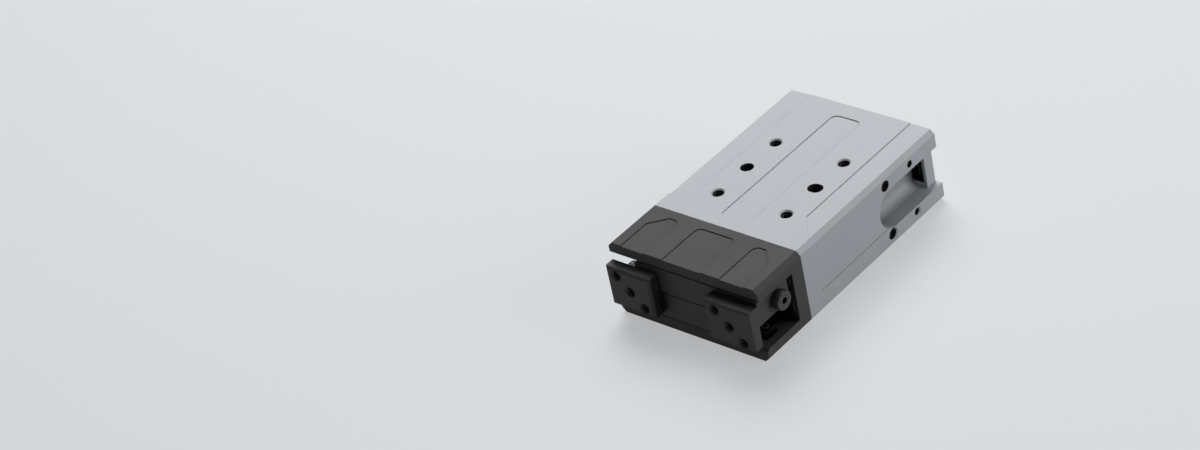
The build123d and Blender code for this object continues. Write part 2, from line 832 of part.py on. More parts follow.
with BuildPart() as upper_guide_balls:
    with Locations((cage_middle, back(guide_from_front), mid_z + ball_height)):
        with GridLocations(ball_pitch, 2 * ball_offset, ball_count, 2):
            Sphere(ball_radius)
upper_guide_balls.part.label = "upper_guide_balls"
export_step(upper_guide_balls.part, "parts/upper_guide_balls.step")

with BuildPart() as lower_guide_balls:
    add(turned(upper_guide_balls.part))
lower_guide_balls.part.label = "lower_guide_balls"
export_step(lower_guide_balls.part, "parts/lower_guide_balls.step")

# Pinion between the racks
with BuildPart() as pinion:
    with BuildSketch(section(pinion_front + pinion_width)):
        with BuildLine():
            Polyline(
                *gear_points(
                    rack_module,
                    pinion_teeth,
                    pinion_pitch_radius + rack_module,
                    pinion_pitch_radius - gear_dedendum * rack_module,
                    rack_backlash,
                ),
                close=True,
            )
        make_face()
        Circle(shaft_radius, mode=Mode.SUBTRACT)
    extrude(amount=pinion_width)
pinion.part.label = "pinion"
export_step(pinion.part, "parts/pinion.step")

# Shielded bearing of the output shaft, in the head's rear wall
bearing_front = head_length - bearing_width
inner_race_radius = shaft_radius + bearing_race_wall
with BuildPart() as bearing_outer_race:
    with BuildSketch(section(head_length)):
        Circle(bearing_outer_radius)
        Circle(bearing_outer_radius - bearing_race_wall, mode=Mode.SUBTRACT)
    extrude(amount=bearing_width)
    for distance in (bearing_front + bearing_shield, head_length):
        with BuildSketch(section(distance)):
            Circle(bearing_outer_radius - bearing_race_wall)
            Circle(inner_race_radius + running_clearance, mode=Mode.SUBTRACT)
        extrude(amount=bearing_shield)
bearing_outer_race.part.label = "bearing_outer_race"
export_step(bearing_outer_race.part, "parts/bearing_outer_race.step")

with BuildPart() as bearing_inner_race:
    with BuildSketch(section(head_length)):
        Circle(inner_race_radius)
        Circle(shaft_radius, mode=Mode.SUBTRACT)
    extrude(amount=bearing_width)
bearing_inner_race.part.label = "bearing_inner_race"
export_step(bearing_inner_race.part, "parts/bearing_inner_race.step")

# Gearbox: flange with a bush, ring gear, carrier with its pins, planets and sun
with BuildPart() as gearbox_flange:
    with BuildSketch(section(ring_front)):
        Circle(drive_radius)
        Circle(bush_radius, mode=Mode.SUBTRACT)
    extrude(amount=flange_length)
    with Locations(section(head_length)):
        with PolarLocations(gearbox_screw_circle_radius, gearbox_screw_count, start_angle=gearbox_screw_angle):
            Hole(gearbox_screw_core_radius, flange_length)
gearbox_flange.part.label = "gearbox_flange"
export_step(gearbox_flange.part, "parts/gearbox_flange.step")

with BuildPart() as gearbox_screws:
    with Locations(section(window_depth + gearbox_screw_head_height)):
        with PolarLocations(gearbox_screw_circle_radius, gearbox_screw_count, start_angle=gearbox_screw_angle):
            add(
                socket_screw(
                    gearbox_screw_head_radius,
                    gearbox_screw_head_height,
                    gearbox_screw_core_radius,
                    gearbox_screw_length,
                    gearbox_screw_head_radius,
                )
            )
gearbox_screws.part.label = "gearbox_screws"
export_step(gearbox_screws.part, "parts/gearbox_screws.step")

with BuildPart() as carrier_bush:
    with BuildSketch(section(ring_front)):
        Circle(bush_radius)
        Circle(shaft_radius + running_clearance, mode=Mode.SUBTRACT)
    extrude(amount=flange_length)
carrier_bush.part.label = "carrier_bush"
export_step(carrier_bush.part, "parts/carrier_bush.step")

with BuildPart() as ring_gear:
    with BuildSketch(section(ring_rear)):
        Circle(drive_radius)
    extrude(amount=ring_length)
    with BuildSketch(section(ring_rear)):
        with BuildLine():
            Polyline(
                *gear_points(
                    gear_module,
                    ring_teeth,
                    ring_radius + gear_dedendum * gear_module,
                    ring_radius - gear_addendum * gear_module,
                    -gear_backlash,
                    180 / ring_teeth,
                ),
                close=True,
            )
        make_face()
    extrude(amount=ring_length, mode=Mode.SUBTRACT)
ring_gear.part.label = "ring_gear"
export_step(ring_gear.part, "parts/ring_gear.step")

with BuildPart() as planet_carrier:
    with BuildSketch(section(carrier_front + carrier_thickness)):
        Circle(carrier_radius)
    extrude(amount=carrier_thickness)
    with BuildSketch(section(carrier_front)):
        Circle(shaft_radius)
    extrude(amount=carrier_front - pinion_front)
    with BuildSketch(section(gear_front + gear_width)):
        with PolarLocations(planet_orbit, planet_count, start_angle=planet_angles[0]):
            Circle(planet_pin_radius)
    extrude(amount=gear_front + gear_width - carrier_front - carrier_thickness)
planet_carrier.part.label = "planet_carrier"
export_step(planet_carrier.part, "parts/planet_carrier.step")

for number, angle in enumerate(planet_angles, start=1):
    with BuildPart() as planet_gear:
        with BuildSketch(section(gear_front + gear_width)):
            with PolarLocations(planet_orbit, 1, start_angle=angle, rotate=False):
                with BuildLine(mode=Mode.PRIVATE) as planet_line:
                    Polyline(
                        *gear_points(
                            gear_module,
                            planet_teeth,
                            planet_radius + gear_addendum * gear_module,
                            planet_radius - gear_dedendum * gear_module,
                            gear_backlash,
                            180 / planet_teeth,
                        ),
                        close=True,
                    )
                add(make_face(planet_line.edges(), mode=Mode.PRIVATE))
                Circle(planet_pin_radius + planet_pin_clearance, mode=Mode.SUBTRACT)
        extrude(amount=gear_width)
    planet_gear.part.label = f"planet_gear_{number}"
    export_step(planet_gear.part, f"parts/planet_gear_{number}.step")

with BuildPart() as sun_gear:
    with BuildSketch(section(gear_front + gear_width)):
        with BuildLine():
            Polyline(
                *gear_points(
                    gear_module,
                    sun_teeth,
                    sun_radius + gear_addendum * gear_module,
                    sun_radius - gear_dedendum * gear_module,
                    gear_backlash,
                ),
                close=True,
            )
        make_face()
        Circle(motor_shaft_radius, mode=Mode.SUBTRACT)
    extrude(amount=gear_width)
sun_gear.part.label = "sun_gear"
export_step(sun_gear.part, "parts/sun_gear.step")

# Motor: front plate, can, winding, rotor on its shaft, and the end bell with the encoder
with BuildPart() as motor_plate:
    with BuildSketch(section(can_front)):
        Circle(drive_radius)
        Circle(motor_shaft_radius + bore_clearance, mode=Mode.SUBTRACT)
    extrude(amount=motor_plate_length)
    with BuildSketch(section(can_front)):
        Circle(motor_bearing_radius)
    extrude(amount=motor_bearing_width, mode=Mode.SUBTRACT)
motor_plate.part.label = "motor_plate"
export_step(motor_plate.part, "parts/motor_plate.step")

with BuildPart() as motor_can:
    with BuildSketch(section(can_rear)):
        Circle(drive_radius)
        Circle(drive_radius - can_wall, mode=Mode.SUBTRACT)
    extrude(amount=can_length)
motor_can.part.label = "motor_can"
export_step(motor_can.part, "parts/motor_can.step")

can_middle = (can_front + can_rear) / 2
with BuildPart() as motor_winding:
    with BuildSketch(section(can_middle + winding_length / 2)):
        Circle(drive_radius - can_wall)
        Circle(winding_inner_radius, mode=Mode.SUBTRACT)
    extrude(amount=winding_length)
motor_winding.part.label = "motor_winding"
export_step(motor_winding.part, "parts/motor_winding.step")

with BuildPart() as rotor_magnet:
    with BuildSketch(section(can_middle + rotor_length / 2)):
        Circle(rotor_radius)
        Circle(motor_shaft_radius, mode=Mode.SUBTRACT)
    extrude(amount=rotor_length)
rotor_magnet.part.label = "rotor_magnet"
export_step(rotor_magnet.part, "parts/rotor_magnet.step")

encoder_magnet_rear = can_rear + end_bell_web + encoder_gap + encoder_magnet_length
with BuildPart() as rotor_shaft:
    with BuildSketch(section(encoder_magnet_rear)):
        Circle(motor_shaft_radius)
    extrude(amount=encoder_magnet_rear - gear_front)
rotor_shaft.part.label = "rotor_shaft"
export_step(rotor_shaft.part, "parts/rotor_shaft.step")

with BuildPart() as motor_end_bell:
    with BuildSketch(section(can_rear + end_bell_length)):
        Circle(drive_radius)
    extrude(amount=end_bell_length)
    with BuildSketch(section(can_rear + end_bell_length)):
        Circle(drive_radius - can_wall)
    extrude(amount=end_bell_length - end_bell_web, mode=Mode.SUBTRACT)
    with BuildSketch(section(can_rear + end_bell_web)):
        Circle(motor_shaft_radius + bore_clearance)
    extrude(amount=end_bell_web, mode=Mode.SUBTRACT)
    with BuildSketch(section(can_rear + motor_bearing_width)):
        Circle(motor_bearing_radius)
    extrude(amount=motor_bearing_width, mode=Mode.SUBTRACT)
    with BuildSketch(section(can_rear + end_bell_web)):
        with PolarLocations(terminal_circle_radius, terminal_count, start_angle=90):
            Circle(terminal_radius + terminal_clearance)
    extrude(amount=end_bell_web, mode=Mode.SUBTRACT)
motor_end_bell.part.label = "motor_end_bell"
export_step(motor_end_bell.part, "parts/motor_end_bell.step")

# Terminals of the winding, through the end bell to the encoder board
with BuildPart() as motor_terminals:
    with BuildSketch(section(can_rear + end_bell_length)):
        with PolarLocations(terminal_circle_radius, terminal_count, start_angle=90):
            Circle(terminal_radius)
    extrude(amount=can_rear + end_bell_length - can_middle - winding_length / 2)
motor_terminals.part.label = "motor_terminals"
export_step(motor_terminals.part, "parts/motor_terminals.step")

for place, distance in (("front", can_front), ("rear", can_rear + motor_bearing_width)):
    with BuildPart() as motor_bearing:
        with BuildSketch(section(distance)):
            Circle(motor_bearing_radius)
            Circle(motor_shaft_radius + running_clearance, mode=Mode.SUBTRACT)
        extrude(amount=motor_bearing_width)
    motor_bearing.part.label = f"motor_{place}_bearing"
    export_step(motor_bearing.part, f"parts/motor_{place}_bearing.step")

with BuildPart() as encoder_magnet:
    with BuildSketch(section(encoder_magnet_rear)):
        Circle(encoder_magnet_radius)
        Circle(motor_shaft_radius, mode=Mode.SUBTRACT)
    extrude(amount=encoder_magnet_length)
encoder_magnet.part.label = "encoder_magnet"
export_step(encoder_magnet.part, "parts/encoder_magnet.step")

with BuildPart() as encoder_board:
    with BuildSketch(section(bore_rear)):
        Circle(drive_radius)
    extrude(amount=encoder_board_thickness)
encoder_board.part.label = "encoder_board"
export_step(encoder_board.part, "parts/encoder_board.step")

# Control board on the cover's pillars, its chips and screws, and the flat lead to the encoder
board_rear = cover_front - pillar_length
board_front = board_rear - board_thickness
with BuildPart() as control_board:
    with BuildSketch(section(board_rear)):
        Rectangle(board_width, board_height)
        with GridLocations(pillar_spacing, 0, 2, 1):
            Circle(board_screw_radius, mode=Mode.SUBTRACT)
    extrude(amount=board_thickness)
control_board.part.label = "control_board"
export_step(control_board.part, "parts/control_board.step")

with BuildPart() as drive_chips:
    with BuildSketch(section(board_front)):
        Rectangle(chip_side, chip_side)
        with GridLocations(small_chip_spacing, 0, 2, 1):
            Rectangle(small_chip_width, chip_side)
    extrude(amount=chip_height)
drive_chips.part.label = "drive_chips"
export_step(drive_chips.part, "parts/drive_chips.step")

with BuildPart() as board_screws:
    with Locations(section(board_front)):
        with GridLocations(pillar_spacing, 0, 2, 1):
            add(
                socket_screw(
                    board_screw_head_radius,
                    board_screw_head_height,
                    board_screw_radius,
                    board_screw_length,
                    board_screw_head_radius,
                )
            )
board_screws.part.label = "board_screws"
export_step(board_screws.part, "parts/board_screws.step")

with BuildPart() as encoder_lead:
    with BuildSketch(section(board_front)):
        with Locations((0, board_height / 2)):
            Rectangle(lead_width, lead_thickness, align=(Align.CENTER, Align.MAX))
    extrude(amount=board_front - bore_rear)
encoder_lead.part.label = "encoder_lead"
export_step(encoder_lead.part, "parts/encoder_lead.step")

# Cable socket in the rear cover, open to the side slot, with its contacts
socket_rear = cover_front + socket_pocket_depth
with BuildPart() as cable_socket:
    with BuildSketch(section(socket_rear)):
        with Locations((socket_x, 0)):
            Rectangle(socket_width - 2 * socket_fit, socket_height - 2 * socket_fit)
    extrude(amount=socket_length)
    with BuildSketch(section(socket_rear - socket_length)):
        with Locations((socket_x, 0)):
            Rectangle(socket_width - 2 * socket_wall, socket_height - 2 * socket_wall)
    extrude(amount=-socket_mouth_depth, mode=Mode.SUBTRACT)
cable_socket.part.label = "cable_socket"
export_step(cable_socket.part, "parts/cable_socket.step")

with BuildPart() as socket_contacts:
    with BuildSketch(section(socket_rear - socket_length + socket_mouth_depth)):
        with Locations((socket_x, 0)):
            with GridLocations(0, contact_pitch, 1, contact_count):
                Rectangle(contact_size, contact_size)
    extrude(amount=contact_length)
socket_contacts.part.label = "socket_contacts"
export_step(socket_contacts.part, "parts/socket_contacts.step")

# Flat lead from the control board, through the cover's channel, to the side of the socket
lead_line = cover_front + lead_channel_depth / 2
socket_side = socket_x - socket_width / 2 + socket_fit
with BuildPart() as socket_lead:
    with BuildSketch(Plane.XY.offset(mid_z - socket_lead_width / 2)):
        with BuildLine():
            Polyline(
                (socket_lead_x, back(board_rear)),
                (socket_lead_x, back(lead_line + lead_thickness)),
                (socket_side, back(lead_line + lead_thickness)),
                (socket_side, back(lead_line)),
                (socket_lead_x + lead_thickness, back(lead_line)),
                (socket_lead_x + lead_thickness, back(board_rear)),
                close=True,
            )
        make_face()
    extrude(amount=socket_lead_width)
socket_lead.part.label = "socket_lead"
export_step(socket_lead.part, "parts/socket_lead.step")
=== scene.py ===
import json
from math import pi, radians, tau

import bmesh
import bpy
import numpy as np
from bpy.props import FloatProperty, FloatVectorProperty, IntProperty, PointerProperty
from bpy.types import Operator, Panel, PropertyGroup
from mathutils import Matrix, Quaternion, Vector


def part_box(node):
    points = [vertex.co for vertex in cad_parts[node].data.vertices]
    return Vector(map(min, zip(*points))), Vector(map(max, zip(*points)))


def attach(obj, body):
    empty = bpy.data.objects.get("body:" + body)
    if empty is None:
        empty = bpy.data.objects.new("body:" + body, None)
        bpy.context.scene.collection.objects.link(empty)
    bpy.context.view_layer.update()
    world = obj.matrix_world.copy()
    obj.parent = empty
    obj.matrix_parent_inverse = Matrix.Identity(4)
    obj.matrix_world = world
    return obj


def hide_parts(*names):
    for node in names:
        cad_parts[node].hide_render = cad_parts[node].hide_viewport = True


bl_info = {
    "name": "Slim gripper dress",
    "version": (1, 0, 0),
    "blender": (4, 5, 0),
    "location": "View3D > Sidebar > Gripper",
    "description": "Finishes, threads and a studio for a slim two-jaw electric gripper",
    "category": "Object",
}

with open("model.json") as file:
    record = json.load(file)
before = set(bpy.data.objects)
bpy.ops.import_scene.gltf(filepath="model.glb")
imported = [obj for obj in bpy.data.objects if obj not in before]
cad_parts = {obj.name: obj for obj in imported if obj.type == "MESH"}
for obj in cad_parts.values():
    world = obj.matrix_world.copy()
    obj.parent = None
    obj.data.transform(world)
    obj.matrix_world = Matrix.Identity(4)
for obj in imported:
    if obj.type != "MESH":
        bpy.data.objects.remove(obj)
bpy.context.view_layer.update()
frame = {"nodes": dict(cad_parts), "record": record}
mounts = {mount["name"]: mount for mount in frame["record"]["mounts"]}
slot_of_node = {entry["node"]: entry["material_slot"] for entry in frame["record"]["subparts"]}

MM = 0.001


def linear(code):
    """Linear RGBA of an sRGB hex colour such as "#a0a4a8"."""
    values = [int(code[start:start + 2], 16) / 255 for start in (1, 3, 5)]
    return [v / 12.92 if v <= 0.04045 else ((v + 0.055) / 1.055) ** 2.4 for v in values] + [1.0]


def colour(name, description, code):
    """A colour property whose default is an sRGB hex value."""
    return FloatVectorProperty(
        name=name,
        description=description,
        subtype="COLOR",
        size=4,
        min=0,
        max=1,
        default=linear(code),
    )


def length(name, description, millimetres):
    """A length property in metres whose default is given in millimetres."""
    return FloatProperty(
        name=name,
        description=description,
        unit="LENGTH",
        default=millimetres * MM,
        precision=5,
    )


def share(name, description, value):
    """A property without a unit, such as a tone from 0 to 1 or a strength."""
    return FloatProperty(name=name, description=description, default=value)


def power(name, description, watts):
    """A lamp's power."""
    return FloatProperty(name=name, description=description, unit="POWER", default=watts)


class GripperFinishes(PropertyGroup):
    clear_anodise: colour("Clear anodise", "Grey body and rear cover", "#b8bcc1")
    black_anodise: colour("Black anodise", "Head housing", "#505050")
    blackened_steel: colour("Blackened steel", "Jaws and sliders", "#484848")
    black_oxide: colour("Black oxide", "Screws", "#424243")
    ground_steel: colour("Ground steel", "Balls, races and shafts", "#b9babc")
    # Black chrome, darkened further as painted shade, since the rails stand in the shade inside
    # the head
    black_chrome: colour("Black chrome", "Guide rails", "#1e1f20")
    cut_steel: colour("Cut steel", "Gears and racks", "#8f9092")
    plated_steel: colour("Plated steel", "Motor housing and gearbox flange", "#9a9a9b")
    bronze: colour("Bronze", "Bush of the output shaft", "#b08a58")
    brass: colour("Brass", "Ball cages", "#c9a75f")
    copper: colour("Copper", "Enamelled winding wire", "#a4552b")
    magnet: colour("Magnet", "Nickel-plated magnets", "#7d7d80")
    solder_mask: colour("Solder mask", "Circuit boards", "#0d3b22")
    moulded_black: colour("Moulded black", "Chips and socket", "#161617")
    gold: colour("Gold", "Contacts", "#d8b25a")
    film: colour("Film", "Flat leads", "#a4601b")
    blast_grain: length("Blast grain", "Width of one dimple of the blasted surface as drawn", 0.35)
    film_cloud: length("Film cloud", "Width of one faint patch of tone in the anodised film", 9.0)
    pebble: length("Pebble", "Width of one pebble of a moulded surface", 0.22)
    # Paler edge band: worn film and a painted highlight
    edge_wear: length("Edge wear", "Width of the paler band along an edge", 0.12)
    # Painted shade: how far the recesses, windows and holes reach whose base colour is darkened,
    # and the tones left in them
    recess_reach: length("Recess reach", "Widest recess of the grey parts that is dulled", 8.0)
    window_reach: length("Window reach", "The same for the black parts and their window", 14.0)
    steel_reach: length("Steel reach", "The same for the metal parts and their holes", 4.5)
    line_reach: length("Line reach", "Height of a panel's step, which isn't dulled", 0.2)
    recess_tone: share("Recess tone", "Tone left in the deepest recess", 0.05)
    corner_tone: share("Corner tone", "Tone left in a square corner", 0.65)
    # Painted shade: a thread's base colour is darkened to this share of its metal's, as in the
    # shade of its hole
    thread_tone: share("Thread tone", "Tone of an oiled thread, as a share of its metal's", 0.1)


class GripperDetails(PropertyGroup):
    turn_segments: IntProperty(
        name="Turn segments", description="Steps in one thread turn", default=28
    )
    thread_depth: length("Thread depth", "How far a thread stands into its hole", 0.13)
    mount_pitch: length("Mount pitch", "Thread pitch of the mounting holes", 0.5)
    clamp_pitch: length("Clamp pitch", "Thread pitch of the cable clamp holes", 0.4)
    finger_pitch: length("Finger pitch", "Thread pitch of the finger holes", 0.45)
    thread_start: length("Thread start", "Depth of a hole's mouth before its thread", 0.5)
    finger_start: length("Finger start", "The same for the finger holes, at both ends", 0.2)
    through_run: length("Through run", "Thread from each end of a hole that goes through", 8.2)
    blind_run: length("Blind run", "Length of thread in a side mounting hole", 4.2)
    clamp_run: length("Clamp run", "Length of thread in a cable clamp hole", 3.2)
    head_height: length("Head height", "Height of an end screw's head", 2.1)
    head_bevel: length("Head bevel", "Rounded edge of an end screw's head", 0.22)
    hexagon: length("Hexagon", "Width across the flats of an end screw's socket", 1.3)
    hexagon_depth: length("Hexagon depth", "Depth of an end screw's socket", 1.05)
    knurl_count: IntProperty(
        name="Knurl count", description="Ridges round an end screw's head", default=40
    )
    knurl_depth: length("Knurl depth", "Depth of the ridges on an end screw's head", 0.06)


class GripperStage(PropertyGroup):
    lens: FloatProperty(
        name="Lens",
        description="Focal length on a 36 mm sensor",
        subtype="DISTANCE_CAMERA",
        default=89.98,
    )
    roll: FloatProperty(
        name="Roll",
        description="Turn of the camera about its view",
        subtype="ANGLE",
        default=radians(12.9),
    )
    overhead_power: power("Overhead lamp", "Power of the soft lamp above and behind", 4.5)
    side_power: power("Side lamp", "Power of the soft lamp to the right", 1.95)
    front_power: power("Front lamp", "Power of the fill lamp in front", 0.26)
    ambient: share("Ambient", "Strength of the room's light", 0.08)
    floor: colour("Floor", "Colour of the floor as it is lit", "#8f9296")
    floor_glow: share("Floor glow", "How much paler the floor looks than it is lit", 0.47)
    floor_tint: colour("Floor tint", "Colour of the paler look", "#f4f6f8")


# Materials

BEVEL_SAMPLES = 6
# Cosines of the angle between the rounded and the true normal, where an edge starts and where
# it is full
EDGE_START = 0.99
EDGE_FULL = 0.75
OPENNESS_SAMPLES = 32
# The painted shade of a recess lifts from its darkest tone to a corner's, and then to none on
# the open surface, over these shares of the open space.
CORNER_RISE = 0.12
OPEN_RISE = 0.42


def add_node(tree, kind, inputs=None, **settings):
    """Adds a node. inputs maps a socket's name or number to a value or to an output to link."""
    made = tree.nodes.new(kind)
    for name, value in settings.items():
        setattr(made, name, value)
    for key, value in (inputs or {}).items():
        if isinstance(value, bpy.types.NodeSocket):
            tree.links.new(value, made.inputs[key])
        else:
            made.inputs[key].default_value = value
    return made


def new_finish(name):
    """An empty material, its node tree and its Object coordinates."""
    made = bpy.data.materials.new(name)
    made.use_nodes = True
    made.node_tree.nodes.clear()
    place = add_node(made.node_tree, "ShaderNodeTexCoord").outputs["Object"]
    return made, made.node_tree, place


def finish_surface(tree, inputs):
    """Ends a node tree in one Principled shader."""
    shader = add_node(tree, "ShaderNodeBsdfPrincipled", inputs)
    add_node(tree, "ShaderNodeOutputMaterial", {"Surface": shader.outputs[0]})


def noise(tree, place, size, detail=2.0, stretch=None):
    """Noise whose cells are size metres wide, or longer along an axis by stretch's factors."""
    if stretch:
        scale = [1 / factor for factor in stretch]
        place = add_node(
            tree, "ShaderNodeMapping", {"Vector": place, "Scale": scale}
        ).outputs[0]
    return add_node(
        tree, "ShaderNodeTexNoise", {"Vector": place, "Scale": 1 / size, "Detail": detail}
    ).outputs["Fac"]


def ranged(tree, value, low, high, start=0.3, end=0.7):
    """value stretched from start..end to low..high. Noise seldom leaves 0.3 to 0.7."""
    return add_node(
        tree,
        "ShaderNodeMapRange",
        {"Value": value, "From Min": start, "From Max": end, "To Min": low, "To Max": high},
    ).outputs[0]


def combined(tree, operation, first, second):
    """A sum, difference, product or the like of two values."""
    return add_node(tree, "ShaderNodeMath", {0: first, 1: second}, operation=operation).outputs[0]


def mixed(tree, factor, first, second):
    """Blend of two colours."""
    return add_node(
        tree, "ShaderNodeMix", {"Factor": factor, 6: first, 7: second}, data_type="RGBA"
    ).outputs[2]


def bumped(tree, height, depth, strength, normal=None):
    """A normal that height, from 0 to 1, raises by depth metres."""
    inputs = {"Strength": strength, "Distance": depth, "Height": height}
    if normal:
        inputs["Normal"] = normal
    return add_node(tree, "ShaderNodeBump", inputs).outputs[0]


def scaled(tone, factor):
    """A linear colour made darker or paler."""
    return [min(1.0, channel * factor) for channel in tone[:3]] + [1.0]


def wear_and_highlight_edges(tree, radius):
    """0 on flat stretches, rising to 1 along edges: how far the rounded normal leaves the true
    one. It masks the paler edge band, worn film and a painted highlight. The rounded normal comes
    with it."""
    rounded = add_node(
        tree, "ShaderNodeBevel", {"Radius": radius}, samples=BEVEL_SAMPLES
    ).outputs[0]
    true_normal = add_node(tree, "ShaderNodeNewGeometry").outputs["Normal"]
    match = add_node(
        tree, "ShaderNodeVectorMath", {0: rounded, 1: true_normal}, operation="DOT_PRODUCT"
    ).outputs["Value"]
    return ranged(tree, match, 1.0, 0.0, start=EDGE_FULL, end=EDGE_START), rounded


def shade_painted(tree, base, reach, deep):
    """base with painted shade: darker in holes, slots and corners, by how much of the open space
    the piece's own shape hides from a point.
    It is darkest where a point of the piece sees no more than deep of the open space within
    reach. What stands as near as the step of a panel doesn't count."""
    finishes = bpy.context.scene.gripper_finishes
    wide, near = (
        add_node(
            tree,
            "ShaderNodeAmbientOcclusion",
            {"Distance": distance},
            samples=OPENNESS_SAMPLES,
            only_local=True,
        ).outputs["AO"]
        for distance in (reach, finishes.line_reach)
    )
    openness = combined(tree, "ADD", combined(tree, "SUBTRACT", wide, near), 1.0)
    ramp = add_node(tree, "ShaderNodeValToRGB", {"Fac": openness})
    # A new ramp has two stops
    ramp.color_ramp.elements.new(0.5)
    stops = (
        (deep, finishes.recess_tone),
        (deep + CORNER_RISE, finishes.corner_tone),
        (deep + OPEN_RISE, 1.0),
    )
    for stop, (place, tone) in zip(ramp.color_ramp.elements, stops):
        stop.position = place
        stop.color = (tone, tone, tone, 1.0)
    shade = add_node(
        tree,
        "ShaderNodeMix",
        {"Factor": 1.0, 6: base, 7: ramp.outputs["Color"]},
        data_type="RGBA",
        blend_type="MULTIPLY",
    )
    return shade.outputs[2]


def blasted_anodise(name, tone, wear_gain, gloss, reach, deep):
    """Aluminium, bead-blasted and anodised: matt with a fine even grain and a soft sheen, and a
    paler band along each edge, both a thinner film where the edge was broken and a painted
    highlight.
    The film scatters the light, so little of the metal's own shine is left. The real grain, near
    0.1 mm, is too fine to show and is drawn coarser. Its recesses get painted shade."""
    finishes = bpy.context.scene.gripper_finishes
    made, tree, place = new_finish(name)
    grain = noise(tree, place, finishes.blast_grain)
    cloud = noise(tree, place, finishes.film_cloud, detail=3.0)
    edges, rounded = wear_and_highlight_edges(tree, finishes.edge_wear)
    base = mixed(tree, ranged(tree, cloud, 0.0, 1.0), scaled(tone, 0.96), scaled(tone, 1.04))
    base = mixed(tree, ranged(tree, grain, 0.0, 0.5), base, scaled(tone, 0.9))
    # Paler edge band, worn film and a painted highlight, then painted shade in the recesses
    base = shade_painted(tree, mixed(tree, edges, base, scaled(tone, wear_gain)), reach, deep)
    finish_surface(
        tree,
        {
            "Base Color": base,
            "Metallic": 0.1,
            "Roughness": ranged(tree, cloud, 0.56, 0.64),
            "Specular IOR Level": gloss,
            "Normal": bumped(tree, grain, depth=0.02 * MM, strength=0.12, normal=rounded),
        },
    )
    return made


def machined_metal(
    name, tone, roughness, line_width, stretch=(1, 1, 1), metallic=1.0, contrast=0.12, gloss=0.5
):
    """Metal with tool or grinding marks: fine lines, line_width apart, drawn out along one axis,
    that vary the gloss and the tone a little. Its edges get a paler band half as wide as anodised
    ones, worn metal and a painted highlight, and its holes and corners get painted shade."""
    finishes = bpy.context.scene.gripper_finishes
    made, tree, place = new_finish(name)
    lines = noise(tree, place, line_width, detail=3.0, stretch=stretch)
    edges, rounded = wear_and_highlight_edges(tree, finishes.edge_wear / 2)
    dark, pale = scaled(tone, 1 - contrast), scaled(tone, 1 + contrast)
    base = mixed(tree, ranged(tree, lines, 0.0, 1.0), dark, pale)
    # Paler edge band: worn metal and a painted highlight
    base = mixed(tree, edges, base, scaled(tone, 1.5))
    finish_surface(
        tree,
        {
            # Painted shade in the holes and corners
            "Base Color": shade_painted(tree, base, finishes.steel_reach, deep=0.58),
            "Metallic": metallic,
            "Roughness": ranged(tree, lines, roughness - 0.06, roughness + 0.08),
            "Specular IOR Level": gloss,
            "Normal": bumped(tree, lines, depth=0.01 * MM, strength=0.1, normal=rounded),
        },
    )
    return made


def porous_bronze(name, tone, pore_spacing):
    """Sintered bronze: dull gold-brown with small dark pores that hold the oil. A pore fades out
    between 0.12 and 0.3 of the spacing from its middle."""
    made, tree, place = new_finish(name)
    cells = add_node(
        tree, "ShaderNodeTexVoronoi", {"Vector": place, "Scale": 1 / pore_spacing}
    ).outputs["Distance"]
    pores = ranged(tree, cells, 1.0, 0.0, start=0.12, end=0.3)
    finish_surface(
        tree,
        {
            "Base Color": mixed(tree, pores, tone, scaled(tone, 0.35)),
            "Metallic": 0.9,
            "Roughness": ranged(tree, pores, 0.42, 0.7, start=0.0, end=1.0),
        },
    )
    return made


def enamelled_winding(name, tone, wire_width):
    """Copper wire under clear enamel, wound in even turns: glossy, in bands one wire wide whose
    colour falls to half between turns as painted shade in the grooves. At scale 1 a wave texture's
    bands repeat every tau / 20 metres."""
    made, tree, place = new_finish(name)
    turns = add_node(
        tree,
        "ShaderNodeTexWave",
        {"Vector": place, "Scale": tau / (20 * wire_width), "Distortion": 0.4},
        bands_direction="Y",
    ).outputs["Fac"]
    finish_surface(
        tree,
        {
            # Painted shade: darker between turns
            "Base Color": mixed(tree, turns, scaled(tone, 0.5), tone),
            "Metallic": 0.85,
            "Roughness": 0.3,
            "Coat Weight": 0.6,
            "Coat Roughness": 0.15,
            "Normal": bumped(tree, turns, depth=0.05 * MM, strength=0.5),
        },
    )
    return made


def circuit_board(name, tone, track_cell):
    """Glass-fibre board under solder mask: satin green with paler raised tracks, laid as the
    joints of a brick wall whose bricks are half of track_cell long and a quarter high."""
    made, tree, place = new_finish(name)
    tracks = add_node(
        tree,
        "ShaderNodeTexBrick",
        {"Vector": place, "Scale": 1 / track_cell, "Mortar Size": 0.06},
    ).outputs["Fac"]
    finish_surface(
        tree,
        {
            "Base Color": mixed(tree, tracks, tone, scaled(tone, 2.2)),
            "Roughness": 0.32,
            "Normal": bumped(tree, tracks, depth=0.03 * MM, strength=0.4),
        },
    )
    return made


def moulded_plastic(name, tone, roughness):
    """Plastic with the skin of its mould or roller: even, with fine pebbles that vary its tone
    and gloss a little."""
    made, tree, place = new_finish(name)
    pebbles = noise(tree, place, bpy.context.scene.gripper_finishes.pebble)
    spread = ranged(tree, pebbles, 0.0, 1.0)
    finish_surface(
        tree,
        {
            "Base Color": mixed(tree, spread, scaled(tone, 0.85), scaled(tone, 1.15)),
            "Roughness": ranged(tree, pebbles, roughness - 0.05, roughness + 0.08),
            "Normal": bumped(tree, pebbles, depth=0.02 * MM, strength=0.3),
        },
    )
    return made


